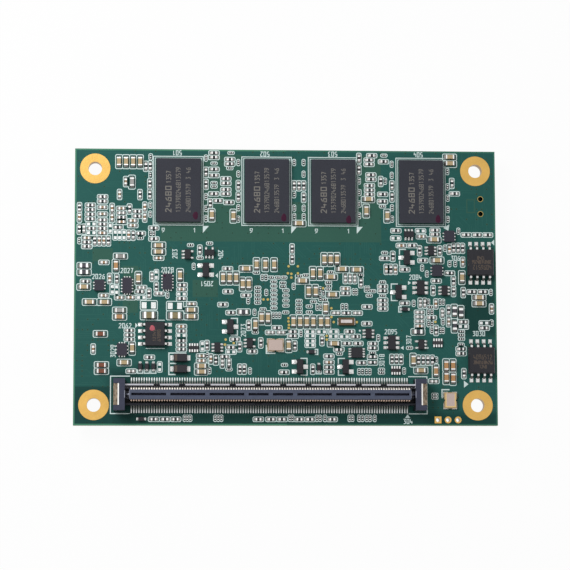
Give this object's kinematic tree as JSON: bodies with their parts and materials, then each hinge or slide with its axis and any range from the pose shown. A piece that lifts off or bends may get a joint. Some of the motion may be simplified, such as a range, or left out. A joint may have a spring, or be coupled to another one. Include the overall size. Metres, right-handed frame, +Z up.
{
  "type": "system on module",
  "caption": "Small computer-on-module: a circuit board with memory chips, dense surface-mount parts and a long board-to-board connector, with a mounting hole in each corner.",
  "frame": {"origin": "centre of the board's outline, in the plane that the coils of the processor side rest on", "axes": "+X along the board towards the flash chips, +Y from the connector edge towards the memory chips, +Z up out of the connector side"},
  "size_m": [0.084, 0.055, 0.0092],
  "materials": {
    "solder_mask": "semi-gloss dark green solder mask over copper",
    "gold_plating": "thin gold plating, satin",
    "solder": "bright tin solder",
    "tinned_leads": "tinned leads, slightly matte",
    "tinned_ends": "tinned end caps with bright solder",
    "connector_plastic": "dark blue-black moulded plastic",
    "contact_metal": "plated contacts, gold at the tips",
    "clip_metal": "plated sheet",
    "memory_plastic": "charcoal moulding compound, fine grain",
    "chip_plastic": "black moulding compound",
    "leadless_plastic": "black moulding compound, smooth",
    "diode_plastic": "black moulding compound",
    "green_substrate": "dark green laminate",
    "gold_ceramic": "ceramic case with a gold frame",
    "lid_metal": "flat metal lid, matte",
    "brown_ceramic": "brown fired ceramic",
    "resistor_coat": "black resistor coating",
    "tan_ceramic": "tan fired ceramic",
    "pale_ceramic": "pale grey fired ceramic",
    "red_brown_ceramic": "red-brown fired ceramic",
    "olive_ceramic": "olive-tan fired ceramic",
    "dark_ceramic": "dark grey fired ceramic",
    "silicon": "polished bare die",
    "pressed_iron": "pressed iron powder, matte",
    "marking_ink": "white printed ink, and marks burnt into the chips",
    "test_paint": "dabs of red paint on tested chips"
  },
  "bodies": {
    "root": {"circuit_board": "solder_mask", "mounting_hole_plating": "gold_plating", "plated_holes": "gold_plating", "test_points": "gold_plating", "bare_lands": "solder", "chip_lands": "solder", "connector_housing": "connector_plastic", "rear_contacts": "contact_metal", "front_contacts": "contact_metal", "left_hold_down": "clip_metal", "right_hold_down": "clip_metal", "memory_chip_1": "memory_plastic", "memory_chip_2": "memory_plastic", "memory_chip_3": "memory_plastic", "memory_chip_4": "memory_plastic", "memory_substrates": "green_substrate", "memory_solder_balls": "solder", "rear_flash_chip": "chip_plastic", "front_flash_chip": "chip_plastic", "flash_leads": "tinned_leads", "firmware_chip": "chip_plastic", "firmware_leads": "tinned_leads", "transistors": "chip_plastic", "transistor_leads": "tinned_leads", "regulators": "chip_plastic", "regulator_leads": "tinned_leads", "logic_gates": "chip_plastic", "logic_gate_leads": "tinned_leads", "leadless_chips": "leadless_plastic", "leadless_chip_pads": "solder", "crystal_cases": "gold_ceramic", "crystal_lids": "lid_metal", "watch_crystal_case": "brown_ceramic", "watch_crystal_lid": "lid_metal", "large_diodes": "diode_plastic", "large_diode_leads": "tinned_leads", "small_diodes": "diode_plastic", "small_diode_leads": "tinned_leads", "resistors": "resistor_coat", "small_capacitors": "tan_ceramic", "pale_capacitors": "pale_ceramic", "medium_capacitors": "tan_ceramic", "brown_capacitors": "red_brown_ceramic", "large_capacitors": "olive_ceramic", "ferrites": "dark_ceramic", "tiny_parts": "dark_ceramic", "resistor_arrays": "resistor_coat", "small_part_ends": "tinned_ends", "medium_part_ends": "tinned_ends", "tiny_part_ends": "tinned_ends", "resistor_array_ends": "tinned_ends", "processor_substrate": "green_substrate", "processor_die": "silicon", "processor_solder_balls": "solder", "coils": "pressed_iron", "coil_ends": "solder", "storage_chip": "memory_plastic", "underside_chips": "leadless_plastic", "bulk_capacitors": "chip_plastic", "underside_lands": "solder"}
  },
  "joints": []
}
